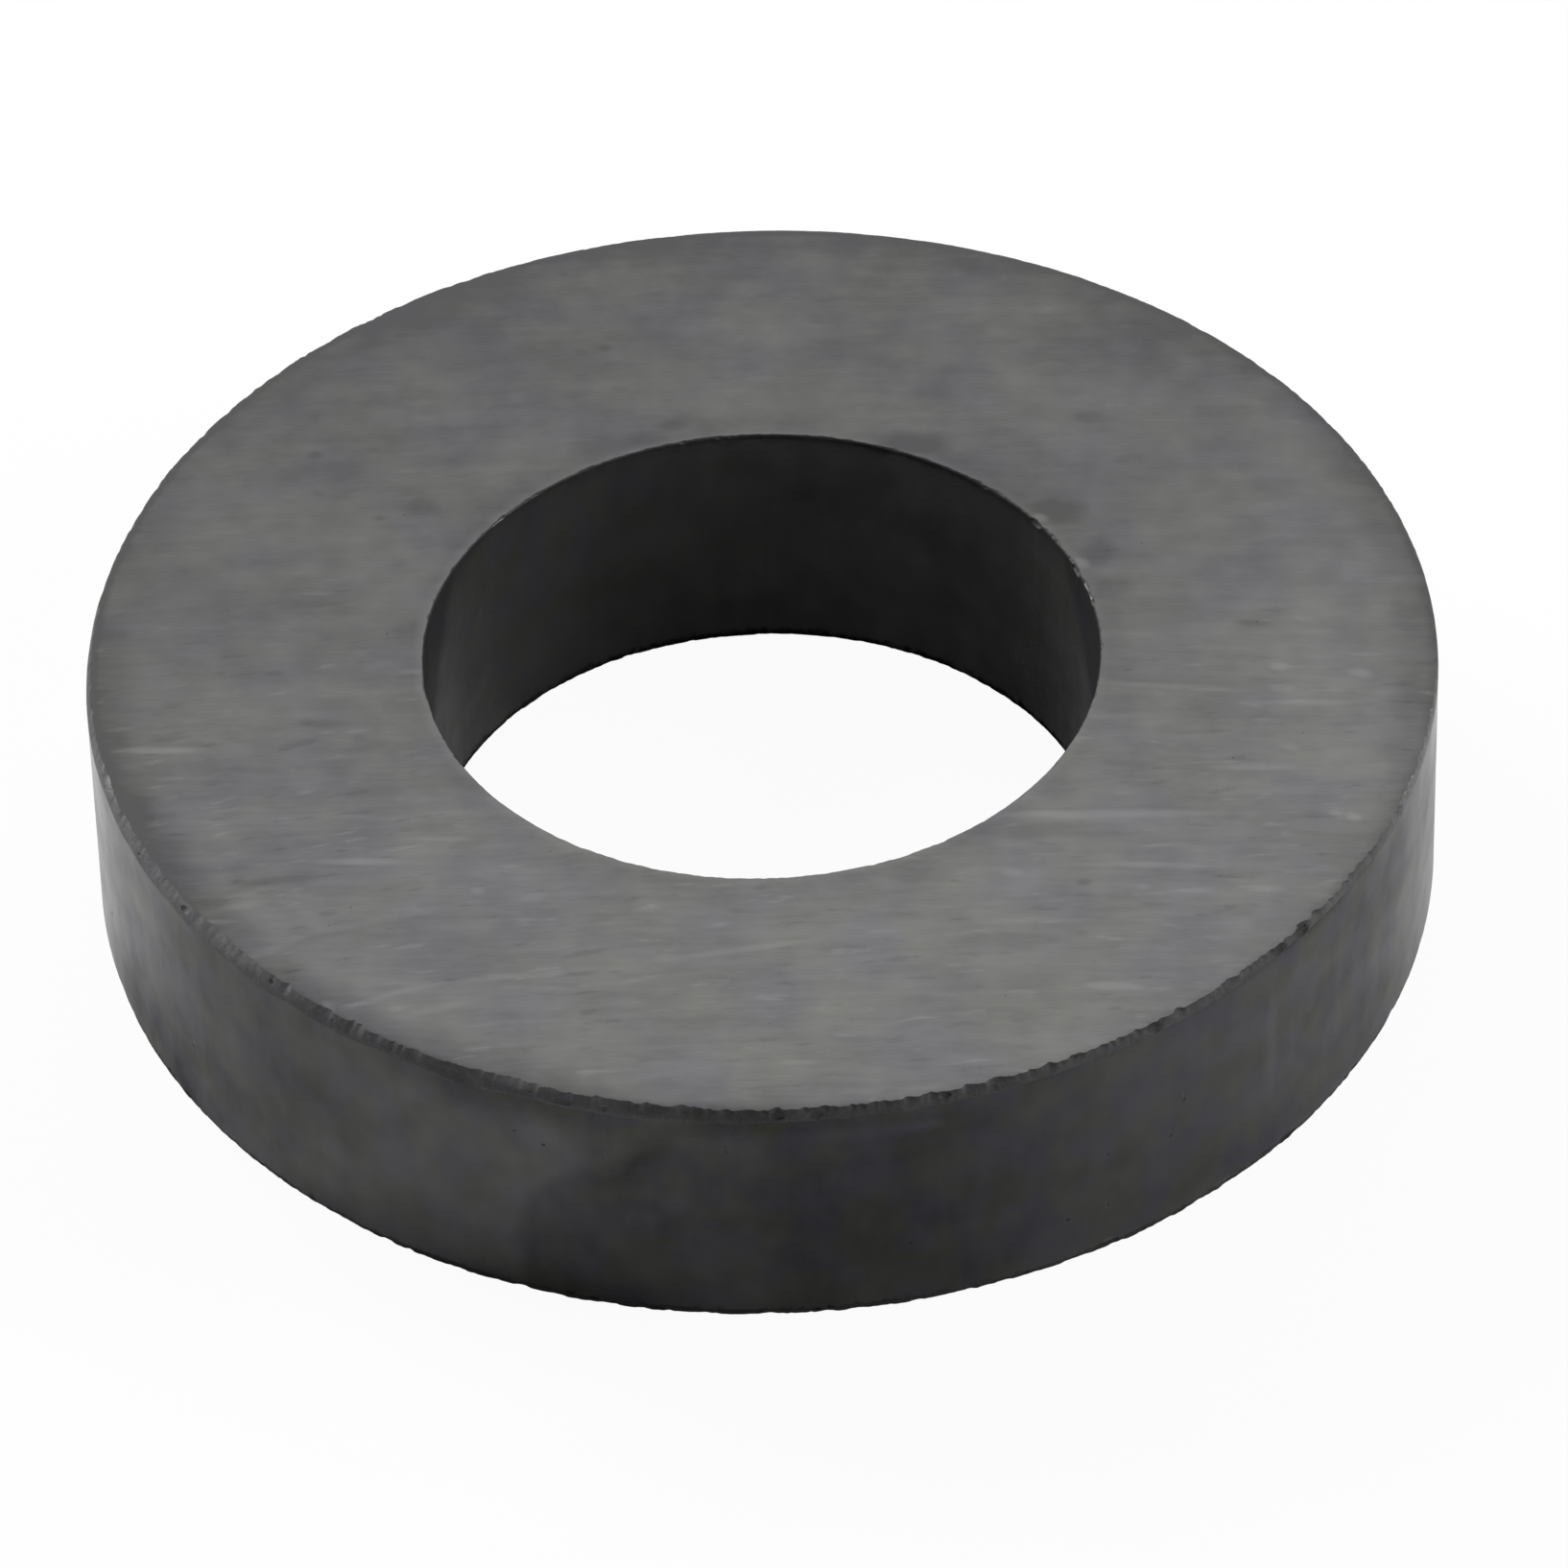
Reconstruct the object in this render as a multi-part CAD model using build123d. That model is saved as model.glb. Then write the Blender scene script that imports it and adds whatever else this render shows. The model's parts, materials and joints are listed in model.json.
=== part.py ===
from build123d import *
import math
import os

# A sintered ferrite ring magnet, lying flat on one of its pole faces.
# It is pressed and fired as one piece, so it is one solid: a ring with two ground pole faces,
# an as-fired outer wall and bore, worn edges, and the small chips that brittle ceramic loses.
# Millimetres. The origin is the middle of the underside, +Z is the ring's axis, and the
# camera of the photograph stands on the -Y side.

# Sizes of the ring
OUTER_DIAMETER = 100.0
BORE_DIAMETER = 50.0
THICKNESS = 20.0

# Edge breaks, as radii: handling rounds the outer edges more than those of the bore
OUTER_TOP_EDGE_RADIUS = 0.6
OUTER_BOTTOM_EDGE_RADIUS = 0.6
BORE_TOP_EDGE_RADIUS = 0.45
BORE_BOTTOM_EDGE_RADIUS = 0.45

# Chips knocked out of an edge: where round the ring, how long along the edge, how deep.
# The angle is in degrees from +X towards +Y, so -90 is the edge nearest the camera.
OUTER_TOP_CHIPS = [
    (-116.5, 5.2, 0.50),
    (-107.5, 1.8, 0.35),
    (-89.8, 1.2, 0.30),
    (-86.8, 1.6, 0.30),
    (-57.0, 2.0, 0.40),
    (-43.0, 1.8, 0.40),
    (-40.0, 1.6, 0.40),
    (-23.0, 1.8, 0.35),
    (131.0, 3.0, 0.40),
    (116.0, 2.2, 0.35),
]
OUTER_BOTTOM_CHIPS = [
    (-118.0, 2.4, 0.35),
    (-69.0, 2.2, 0.40),
    (-62.0, 3.4, 0.45),
    (-49.0, 2.6, 0.40),
    (-42.0, 2.4, 0.40),
    (-31.7, 1.8, 0.35),
    (-23.8, 2.4, 0.45),
]
BORE_TOP_CHIPS = [
    (33.8, 1.4, 0.30),
    (19.7, 1.6, 0.35),
]

OUTER_RADIUS = OUTER_DIAMETER / 2
BORE_RADIUS = BORE_DIAMETER / 2
NODE = "ferrite_ring"


def ring_section():
    """Half of the ring cut through its axis: a rectangle with its four corners rounded."""
    with BuildSketch(Plane.XZ) as section:
        middle = (OUTER_RADIUS + BORE_RADIUS) / 2
        with Locations((middle, THICKNESS / 2)):
            Rectangle(OUTER_RADIUS - BORE_RADIUS, THICKNESS)
        inner, outer = section.vertices().group_by(Axis.X)
        bore_bottom, bore_top = inner.sort_by(Axis.Z)
        outer_bottom, outer_top = outer.sort_by(Axis.Z)
        fillet(bore_bottom, BORE_BOTTOM_EDGE_RADIUS)
        fillet(bore_top, BORE_TOP_EDGE_RADIUS)
        fillet(outer_bottom, OUTER_BOTTOM_EDGE_RADIUS)
        fillet(outer_top, OUTER_TOP_EDGE_RADIUS)
    return section.sketch


def edge_chip(angle, length, depth, edge_radius, wall_radius, height, outward, upward):
    """A ball that cuts a shell-shaped scoop out of a rounded edge of the ring.

    wall_radius and height are where the wall and the face would meet if the edge were sharp.
    outward is 1 on the outer wall and -1 in the bore; upward is 1 on top and -1 underneath.
    """
    slant = math.sqrt(0.5)
    scoop_radius = (length**2 / 4 + depth**2) / (2 * depth)
    # The middle of the rounded edge lies this far in from the sharp corner, along both faces
    rounding_gap = edge_radius * (1 - slant)
    reach = (scoop_radius - depth) * slant - rounding_gap
    centre_radius = wall_radius + outward * reach
    centre_height = height + upward * reach
    turn = math.radians(angle)
    centre = (centre_radius * math.cos(turn), centre_radius * math.sin(turn), centre_height)
    return Pos(*centre) * Sphere(scoop_radius)


def edge_chips():
    """Every chip, on the edge that carries it."""
    edges = [
        (OUTER_TOP_CHIPS, OUTER_TOP_EDGE_RADIUS, OUTER_RADIUS, THICKNESS, 1, 1),
        (OUTER_BOTTOM_CHIPS, OUTER_BOTTOM_EDGE_RADIUS, OUTER_RADIUS, 0.0, 1, -1),
        (BORE_TOP_CHIPS, BORE_TOP_EDGE_RADIUS, BORE_RADIUS, THICKNESS, -1, 1),
    ]
    return [
        edge_chip(angle, length, depth, *edge)
        for chips, *edge in edges
        for angle, length, depth in chips
    ]


def ferrite_ring():
    """The whole magnet: the section turned round +Z, less its chips."""
    ring = revolve(ring_section(), Axis.Z, 360)
    return ring - edge_chips()


magnet = ferrite_ring()
magnet.label = NODE
print(NODE, "volume", round(magnet.volume, 1), "mm3, solids", len(magnet.solids()))

os.makedirs("parts", exist_ok=True)
export_step(magnet, f"parts/{NODE}.step")
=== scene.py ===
# %% [markdown]
# # A ferrite ring magnet
#
# This lesson dresses one plain thing well: a ring of hard grey ceramic, the kind that sits behind a
# loudspeaker. The powder is pressed in a die, fired, and then only its two pole faces are ground flat.
# So the real ring has three finishes. The faces are matt and streaked by the grinding wheel, the outer
# wall and the bore keep a smooth dark fired skin, and the edges are worn and chipped to a rough break.
# Everything below makes those three finishes, and the shapes that separate them.

# %% Load the measured ring
import json
import math
import random

import bmesh
import bpy
from mathutils import Matrix, Vector, noise

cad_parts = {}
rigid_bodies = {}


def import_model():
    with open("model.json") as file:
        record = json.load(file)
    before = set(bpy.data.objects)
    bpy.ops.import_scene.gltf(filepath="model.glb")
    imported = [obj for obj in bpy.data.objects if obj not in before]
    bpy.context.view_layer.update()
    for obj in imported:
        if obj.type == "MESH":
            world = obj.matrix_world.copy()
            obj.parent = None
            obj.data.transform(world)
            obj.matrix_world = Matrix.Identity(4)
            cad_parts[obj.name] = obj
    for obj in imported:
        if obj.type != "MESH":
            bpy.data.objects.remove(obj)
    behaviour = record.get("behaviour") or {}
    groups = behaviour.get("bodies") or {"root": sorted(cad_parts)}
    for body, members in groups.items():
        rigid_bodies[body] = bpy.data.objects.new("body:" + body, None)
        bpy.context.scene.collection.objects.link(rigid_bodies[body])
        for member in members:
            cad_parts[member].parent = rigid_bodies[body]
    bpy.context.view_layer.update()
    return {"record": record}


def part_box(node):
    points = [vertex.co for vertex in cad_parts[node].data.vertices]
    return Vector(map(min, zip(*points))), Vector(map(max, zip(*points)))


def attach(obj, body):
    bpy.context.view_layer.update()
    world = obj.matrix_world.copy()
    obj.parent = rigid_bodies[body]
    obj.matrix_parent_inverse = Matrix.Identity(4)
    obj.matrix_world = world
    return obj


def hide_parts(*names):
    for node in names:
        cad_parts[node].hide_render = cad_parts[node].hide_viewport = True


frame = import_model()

MM = 0.001

low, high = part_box("ferrite_ring")
OUTER_RADIUS = (high.x - low.x) / 2
THICKNESS = high.z - low.z
bore_mount = next(mount for mount in frame["record"]["mounts"] if mount["name"] == "bore")
BORE_RADIUS = bore_mount["dims"]["r_mm"] * MM
print(f"ring: {OUTER_RADIUS / MM:.1f} mm outer radius, {BORE_RADIUS / MM:.1f} mm bore radius, "
      f"{THICKNESS / MM:.1f} mm thick")

# %% [markdown]
# ## The camera
#
# The picture looks down on the ring with a long lens from almost a metre away, which is why the far side
# looks hardly smaller than the near side. A camera could be placed by eye, but a real picture fixes it
# well: the height comes from how flat the circles look, the distance from how much the far side shrinks.
# The camera aims a little to the right of the ring's middle and below it, so the ring sits up and left.

# %% Place the camera
CAMERA_ELEVATION = math.radians(41.25)
CAMERA_DISTANCE = 809.6 * MM
CAMERA_ROLL = math.radians(-1.58)
CAMERA_LENS = 249.3
AIM_RIGHT = 1.463 * MM
AIM_DOWN = 2.339 * MM
CLIP_START = 10 * MM


def place_camera():
    """A camera on the -Y side, looking down on the middle of the ring."""
    ring_middle = Vector((0, 0, THICKNESS / 2))
    away = Vector((0, -math.cos(CAMERA_ELEVATION), math.sin(CAMERA_ELEVATION)))
    level_right = Vector((1, 0, 0))
    level_up = away.cross(level_right)
    right = math.cos(CAMERA_ROLL) * level_right + math.sin(CAMERA_ROLL) * level_up
    up = -math.sin(CAMERA_ROLL) * level_right + math.cos(CAMERA_ROLL) * level_up
    stand = ring_middle + away * CAMERA_DISTANCE
    target = ring_middle + right * AIM_RIGHT - up * AIM_DOWN
    back = (stand - target).normalized()
    right = up.cross(back).normalized()
    up = back.cross(right)
    camera = bpy.data.objects.new("camera", bpy.data.cameras.new("camera"))
    camera.data.lens = CAMERA_LENS
    camera.data.clip_start = CLIP_START
    camera.matrix_world = Matrix((right, up, back)).transposed().to_4x4()
    camera.matrix_world.translation = stand
    bpy.context.scene.collection.objects.link(camera)
    bpy.context.scene.camera = camera
    return camera


camera = place_camera()
print(f"camera: {CAMERA_DISTANCE / MM:.0f} mm away, {math.degrees(CAMERA_ELEVATION):.1f} degrees up")

# %% [markdown]
# ## Worn edges
#
# The press leaves the ring with rounded edges, and the grinder then cuts the faces flat across that
# rounding. So on the real ring a face ends in a thin ragged line, and below that line the edge still
# curls over into the wall. A Bevel modifier gives the same width everywhere. Here each rim is written
# down once instead, by how far it reaches into the face and down the wall, and noise makes both wander.
# The noise is read from the real place of each point and not drawn at random, so the rim comes out the
# same every time and closes on itself without a seam. Each layer of such noise is finer and weaker than
# the one before it, and the pairs of numbers named NOISE say how much weaker and how much finer.

# %% Describe a rim
CUT = math.radians(55)
UPRIGHT = math.radians(90)
LONG_PATCH = 5.0 * MM
NIBBLE = 1.2 * MM
FINE_NIBBLE = 0.5 * MM
NIBBLE_BIAS = 0.1
FINE_SHARE = 0.6
WANDER = 0.3
RIM_NOISE = (0.8, 2.1)


def turned(radius, height, angle):
    """A point of the ring at this radius, height and angle."""
    return Vector((radius * math.cos(angle), radius * math.sin(angle), height))


class Rim:
    """One edge of the ring, where a ground face cuts across the rounded edge of the fired wall."""

    def __init__(self, radius, height, outward, upward, face_reach, wall_reach, lean, ragged, broken_steps,
                 segments, seed):
        self.radius, self.height = radius, height
        self.outward, self.upward = outward, upward
        self.face_reach, self.wall_reach, self.lean = face_reach, wall_reach, lean
        self.ragged, self.broken_steps = ragged, broken_steps
        self.segments, self.seed = segments, seed
        self.battered, self.rubbed = [], []

    def drift(self, angle, patch, salt, octaves=3):
        """Noise about zero with patches of this size at this angle; another salt gives another noise."""
        place = turned(self.radius, 0, angle) / patch
        return noise.fractal(place + Vector((0, 0, self.seed + salt)), *RIM_NOISE, octaves)

    def swell(self, angle, stretches):
        """One, and more or less than that along certain stretches of the rim."""
        total = 1.0
        for degrees, half_width, times in stretches:
            away = (math.degrees(angle) - degrees + 180) % 360 - 180
            total += times * math.exp(-(away / half_width) ** 2)
        return total

    def leaning(self, angle):
        """Wear that is stronger on one side of the ring."""
        size, degrees = self.lean
        return 1 + size * math.cos(angle - math.radians(degrees))

    def rounding(self, angle):
        """How far in the rounded edge would meet the face if nothing had broken away."""
        wander = 1 + WANDER * self.drift(angle, LONG_PATCH, salt=0.0)
        return self.face_reach * self.leaning(angle) * self.swell(angle, self.rubbed) * wander

    def nibbled(self, angle):
        """How much further in the face has crumbled."""
        coarse = max(0.0, self.drift(angle, NIBBLE, salt=5.0, octaves=2) + NIBBLE_BIAS)
        fine = max(0.0, self.drift(angle, FINE_NIBBLE, salt=6.0, octaves=1))
        return self.ragged * self.swell(angle, self.battered) * (coarse + FINE_SHARE * fine)

    def on_face(self, angle):
        """How far the ground face stops short of the sharp corner."""
        return self.rounding(angle) + self.nibbled(angle)

    def on_wall(self, angle):
        """How far down the wall the rounding reaches."""
        return self.wall_reach * self.leaning(angle) * (1 + WANDER * self.drift(angle, LONG_PATCH, salt=20.0))

    def profile(self, angle, lean):
        """How far in and how far down the edge lies at a lean from CUT, on the face, to 90, on the wall."""
        left = (UPRIGHT - lean) / (UPRIGHT - CUT)
        crumbled = self.nibbled(angle) * left ** 2
        inward = self.rounding(angle) * (1 - math.sin(lean)) / (1 - math.sin(CUT)) + crumbled
        down = self.on_wall(angle) * (1 - math.cos(lean) / math.cos(CUT))
        return inward, down

    def place(self, angle, inward, down):
        """The point this far in and this far down from the sharp corner."""
        return turned(self.radius - self.outward * inward, self.height - self.upward * down, angle)

    def facing(self, angle, lean):
        """The way the edge faces at this lean."""
        level = self.on_wall(angle) * math.sin(lean) / math.cos(CUT)
        rise = self.rounding(angle) * math.cos(lean) / (1 - math.sin(CUT))
        return (turned(self.outward * level, self.upward * rise, angle)).normalized()


# %% [markdown]
# The outer rims are worn more than those of the bore, the upper one most of all towards the front left,
# where a stretch of it has been knocked about. Two lists say where a rim departs from the rest of it. Along
# a battered stretch more of the face has crumbled away, along a rubbed one the rounding itself is wider.
# A stretch is given by its angle and half width in degrees and by what it adds, and less than nothing
# makes the rim cleaner there.

# %% Describe the four rims
FINE = 2000
COARSE = FINE // 2
RIMS = {
    "outer_top": Rim(OUTER_RADIUS, THICKNESS, 1, 1, face_reach=0.20 * MM, wall_reach=0.70 * MM,
                     lean=(0.45, -130), ragged=0.19 * MM, broken_steps=6, segments=FINE, seed=1.0),
    "outer_bottom": Rim(OUTER_RADIUS, 0.0, 1, -1, face_reach=0.28 * MM, wall_reach=0.80 * MM,
                        lean=(0.10, -60), ragged=0.20 * MM, broken_steps=5, segments=FINE, seed=2.0),
    "bore_top": Rim(BORE_RADIUS, THICKNESS, -1, 1, face_reach=0.13 * MM, wall_reach=0.30 * MM,
                    lean=(0.10, 30), ragged=0.16 * MM, broken_steps=2, segments=COARSE, seed=3.0),
    "bore_bottom": Rim(BORE_RADIUS, 0.0, -1, -1, face_reach=0.16 * MM, wall_reach=0.35 * MM,
                       lean=(0.10, 90), ragged=0.16 * MM, broken_steps=4, segments=COARSE, seed=4.0),
}
RIMS["outer_top"].battered = [(-116, 20, 1.7), (-70, 28, 1.2), (-33, 20, 1.2), (125, 10, 0.6), (85, 55, -0.8)]
RIMS["outer_top"].rubbed = [(-142, 22, 1.4), (-110, 14, 0.9)]
RIMS["bore_top"].battered = [(27, 14, 1.2)]
for name, rim in RIMS.items():
    widths = [rim.on_face(math.radians(degrees)) / MM for degrees in range(0, 360, 2)]
    print(f"{name}: the face ends {min(widths):.2f} to {max(widths):.2f} mm short of the corner")

# %% [markdown]
# ## The body of the ring
#
# A ring is a shape of revolution, so the quick way is a Screw or Spin of its section. This one is laid up
# row by row instead, like the courses of a chimney, for two reasons. Every row may wander by itself, which
# a spun section can't, and the rows may have different numbers of points: dense along the worn rims, where
# the eye looks for detail, and sparse across the flat faces, where there is nothing to shape.

# %% Lay one row
RIM_STEPS = 6
GRAIN = 0.008 * MM
GRAIN_SIZE = 0.4 * MM
GRAIN_NOISE = (0.6, 2.1)
ROW_SHIFT = 0.9
WALL_WAVE = 0.03 * MM
WALL_PATCH = 9 * MM
WALL_STRETCH = 0.3
WALL_NOISE = (1.0, 2.0)
LAYERS = 3


def wall_wave(angle, height, radius):
    """How far the fired wall lies inside its true radius: long shallow waves, stretched up the wall."""
    place = turned(radius, height * WALL_STRETCH, angle) / WALL_PATCH
    return max(0.0, WALL_WAVE * (0.5 + 0.5 * noise.fractal(place, *WALL_NOISE, LAYERS)))


def around(segments):
    """The angles of a row's points."""
    return [2 * math.pi * index / segments for index in range(segments)]


def rim_row(rim, step):
    """One row along a rim, from the ragged end of the face (step 0) to the wall (step RIM_STEPS)."""
    share = step / RIM_STEPS
    lean = CUT + (UPRIGHT - CUT) * share
    roughest = GRAIN * 4 * share * (1 - share)
    row = []
    for angle in around(rim.segments):
        inward, down = rim.profile(angle, lean)
        place = turned(rim.radius, rim.height, angle) / GRAIN_SIZE + Vector((step * ROW_SHIFT, 0, rim.seed))
        grain = roughest * abs(noise.fractal(place, *GRAIN_NOISE, LAYERS))
        inward += grain + wall_wave(angle, rim.height, rim.radius)
        row.append(rim.place(angle, inward, down + (grain if step else 0)))
    return row


def face_guard_row(rim, guard):
    """A row on the flat face that follows a rim's ragged end at a short distance."""
    return [rim.place(angle, rim.on_face(angle) + guard, 0) for angle in around(rim.segments)]


def wall_guard_row(rim, guard):
    """A row on the wall that follows the end of a rim's rounding at a short distance."""
    return [rim.place(angle, wall_wave(angle, rim.height, rim.radius), rim.on_wall(angle) + guard)
            for angle in around(rim.segments)]


def face_row(radius, height, segments):
    """A plain circle on one of the ground faces."""
    return [turned(radius, height, angle) for angle in around(segments)]


def wall_row(radius, outward, height, segments):
    """A row on the outer wall or the bore, with the wall's slight waves."""
    return [turned(radius - outward * wall_wave(angle, height, radius), height, angle)
            for angle in around(segments)]


# %% [markdown]
# The rows run once round the section: out across the upper face, over the rim, down the outer wall, in
# across the underside and up the bore. Each band between two rows is given its finish at once, because
# here it is still known what the band is. A rounded edge starts as broken ferrite, for as many steps as
# its rim says, and any steps that are left belong to the wall. The worn upper rim is broken all the way.

# %% Order the rows and name their finishes
GROUND_FACE, FIRED_SKIN, BROKEN_EDGE = range(3)
FACE_MARGIN = 1.6 * MM
WALL_MARGIN = 2.8 * MM
FACE_BANDS = 4
WALL_BANDS = 6
FACE_GUARD = 0.3 * MM
WALL_GUARD = 0.5 * MM


def spread(first, last, bands):
    """Evenly spaced values from first to last, both kept."""
    return [first + (last - first) * index / bands for index in range(bands + 1)]


def rim_rows(rim, onto_wall):
    """The rows of a rim, in the order in which the section passes over them, each with its band's finish."""
    rows = [(face_guard_row(rim, FACE_GUARD), GROUND_FACE)]
    rows += [(rim_row(rim, step), BROKEN_EDGE if step < rim.broken_steps else FIRED_SKIN)
             for step in range(RIM_STEPS + 1)]
    rows += [(wall_guard_row(rim, WALL_GUARD), FIRED_SKIN)]
    if onto_wall:
        return rows
    finishes = [finish for row, finish in rows]
    return [(row, finish) for (row, own), finish in zip(reversed(rows), finishes[-2::-1] + [GROUND_FACE])]


def section_rows():
    """Every row of the ring's skin with the finish of the band that follows it."""
    face_radii = spread(BORE_RADIUS + FACE_MARGIN, OUTER_RADIUS - FACE_MARGIN, FACE_BANDS)
    wall_heights = spread(THICKNESS - WALL_MARGIN, WALL_MARGIN, WALL_BANDS)
    rows = [(face_row(radius, THICKNESS, COARSE), GROUND_FACE) for radius in face_radii]
    rows += rim_rows(RIMS["outer_top"], onto_wall=True)
    rows += [(wall_row(OUTER_RADIUS, 1, height, COARSE), FIRED_SKIN) for height in wall_heights]
    rows += rim_rows(RIMS["outer_bottom"], onto_wall=False)
    rows += [(face_row(radius, 0.0, COARSE), GROUND_FACE) for radius in reversed(face_radii)]
    rows += rim_rows(RIMS["bore_bottom"], onto_wall=True)
    rows += [(wall_row(BORE_RADIUS, -1, height, COARSE), FIRED_SKIN) for height in reversed(wall_heights)]
    rows += rim_rows(RIMS["bore_top"], onto_wall=False)
    return rows


rows = section_rows()
print(f"section: {len(rows)} rows, {sum(len(row) for row, finish in rows)} points")

# %% [markdown]
# Two rows with as many points are joined by quads. Where a dense row meets a sparse one with half its
# points, each long edge of the sparse row takes a fan of three triangles. The body stays closed, which
# matters: the Boolean that cuts the chips later only works on a mesh without holes.

# %% Join two rows
def bridge(first, second):
    """The faces between two rows of vertex numbers, of equal length or one twice as long."""
    if len(first) == len(second):
        count = len(first)
        return [(first[i], first[(i + 1) % count], second[(i + 1) % count], second[i]) for i in range(count)]
    flip = len(first) < len(second)
    fine, coarse = (second, first) if flip else (first, second)
    faces = []
    for index, corner in enumerate(coarse):
        following = coarse[(index + 1) % len(coarse)]
        left, middle = fine[2 * index], fine[2 * index + 1]
        right = fine[(2 * index + 2) % len(fine)]
        fan = [(left, middle, corner), (middle, following, corner), (middle, right, following)]
        faces += [face[::-1] for face in fan] if flip else fan
    return faces


# %% Build the closed body
def add_mesh(name, points, faces, finishes):
    """A mesh from plain lists, as an object in the scene, with a finish on every face."""
    mesh = bpy.data.meshes.new(name)
    mesh.from_pydata(points, [], faces)
    mesh.polygons.foreach_set("material_index", finishes)
    made = bpy.data.objects.new(name, mesh)
    bpy.context.scene.collection.objects.link(made)
    return made


def reshape(mesh, work_on):
    """Opens a mesh in bmesh, lets a function work on it and writes it back; counts its open edges."""
    work = bmesh.new()
    work.from_mesh(mesh)
    work_on(work)
    open_edges = sum(not edge.is_manifold for edge in work.edges)
    work.to_mesh(mesh)
    work.free()
    return open_edges


def face_outwards(work):
    """Turns every face of an open bmesh to look out of the body."""
    bmesh.ops.recalc_face_normals(work, faces=work.faces)


def make_body():
    """The ring as one closed mesh."""
    points, faces, finishes, numbered = [], [], [], []
    for row, finish in rows:
        numbered.append(list(range(len(points), len(points) + len(row))))
        points += row
    for index, (row, finish) in enumerate(rows):
        band = bridge(numbered[index], numbered[(index + 1) % len(rows)])
        faces += band
        finishes += [finish] * len(band)
    body = add_mesh("ferrite_ring_body", points, faces, finishes)
    open_edges = reshape(body.data, face_outwards)
    print(f"body: {len(body.data.polygons)} faces, {open_edges} open edges")
    return body


body = make_body()

# %% [markdown]
# ## Chips and pores
#
# Ferrite is as brittle as crockery, so a knock breaks a small shell out of an edge, and a pore that the
# grinder opens leaves a pit in the face. Both could be painted, but a chip on the rim shows in the
# outline, so they are cut: a lumpy pebble is set at each place, and one Boolean takes all the pebbles
# away. The larger chips are at the places of the measured part; seeded random ones fill in between them.

# %% Shape one pebble
PEBBLE_FINE = 3
PEBBLE_PLAIN = 2
PEBBLE_SHIFT = (7.3, 3.1, 5.7)
PEBBLE_NOISE = (0.8, 2.2)
LUMPS_ACROSS = 1.6
CHIP_LUMPS = 0.25
CHIP_LIFT = 0.5
CHIP_WIDTH = 0.28


def pebble(centre, along, outwards, size, lumps, detail, seed):
    """A lumpy ellipsoid: size is its half length along, across and outwards, lumps how rough it is."""
    ball = bmesh.new()
    bmesh.ops.create_icosphere(ball, subdivisions=detail, radius=1.0)
    shift = Vector([seed * part for part in PEBBLE_SHIFT])
    across = outwards.cross(along)
    for vertex in ball.verts:
        way = vertex.co.copy()
        swell = 1 + lumps * noise.fractal(way * LUMPS_ACROSS + shift, *PEBBLE_NOISE, LAYERS)
        reach = [part * half * swell for part, half in zip(way, size)]
        vertex.co = centre + along * reach[0] + across * reach[1] + outwards * reach[2]
    points = [vertex.co.copy() for vertex in ball.verts]
    faces = [[vertex.index for vertex in face.verts] for face in ball.faces]
    ball.free()
    return points, faces


def edge_pebble(rim, degrees, length, depth, lean, detail, seed):
    """A pebble that breaks a shell out of a rim: the chip is this long and this deep."""
    angle = math.radians(degrees)
    skin = rim.place(angle, *rim.profile(angle, math.radians(lean)))
    outwards = rim.facing(angle, math.radians(lean))
    along = turned(1, 0, angle + math.radians(90))
    lift = CHIP_LIFT * depth
    size = (length / 2, max(CHIP_WIDTH * length, depth), depth + lift)
    return pebble(skin + outwards * lift, along, outwards, size, CHIP_LUMPS, detail, seed)


# %% [markdown]
# The chips that can be told apart keep their places: the angle round the ring in degrees from +X towards
# +Y, the length along the edge and the depth, both in millimetres. Small ones are strewn with a seeded
# random generator, and one that would touch another is left out, because pebbles that overlap would
# confuse the Boolean. Their lengths are in millimetres, their depths a share of the length, and their lean
# says in degrees whether they sit nearer the face or nearer the wall.

# %% Set the chips round the rims
KNOWN_CHIPS = {
    "outer_top": [
        (-116.5, 5.2, 0.50), (-107.5, 1.8, 0.35), (-89.8, 1.2, 0.30), (-86.8, 1.6, 0.30), (-57.0, 2.0, 0.40),
        (-43.0, 1.8, 0.40), (-40.0, 1.6, 0.40), (-23.0, 1.8, 0.35), (131.0, 3.0, 0.40), (116.0, 2.2, 0.35),
    ],
    "outer_bottom": [
        (-118.0, 2.4, 0.35), (-69.0, 2.2, 0.40), (-62.0, 3.4, 0.45), (-49.0, 2.6, 0.40), (-42.0, 2.4, 0.40),
        (-31.7, 1.8, 0.35), (-23.8, 2.4, 0.45),
    ],
    "bore_top": [(33.8, 1.4, 0.30), (19.7, 1.6, 0.35)],
    "bore_bottom": [],
}
STREWN_CHIPS = {"outer_top": 40, "outer_bottom": 130, "bore_top": 18, "bore_bottom": 40}
KNOWN_SHARE = 0.45
KNOWN_LEAN = 72
CHIP_LENGTHS = (0.3, 1.3, 0.45)
CHIP_DEPTHS = (0.07, 0.15)
CHIP_LEANS = (58, 76)
CHIP_ROOM = 0.62
LARGE_CHIP = 1.2 * MM
CHIP_SEED = 4


def apart(rim, degrees, other):
    """How far apart two angles of a rim are along it."""
    return abs((degrees - other + 180) % 360 - 180) * math.radians(rim.radius)


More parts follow.
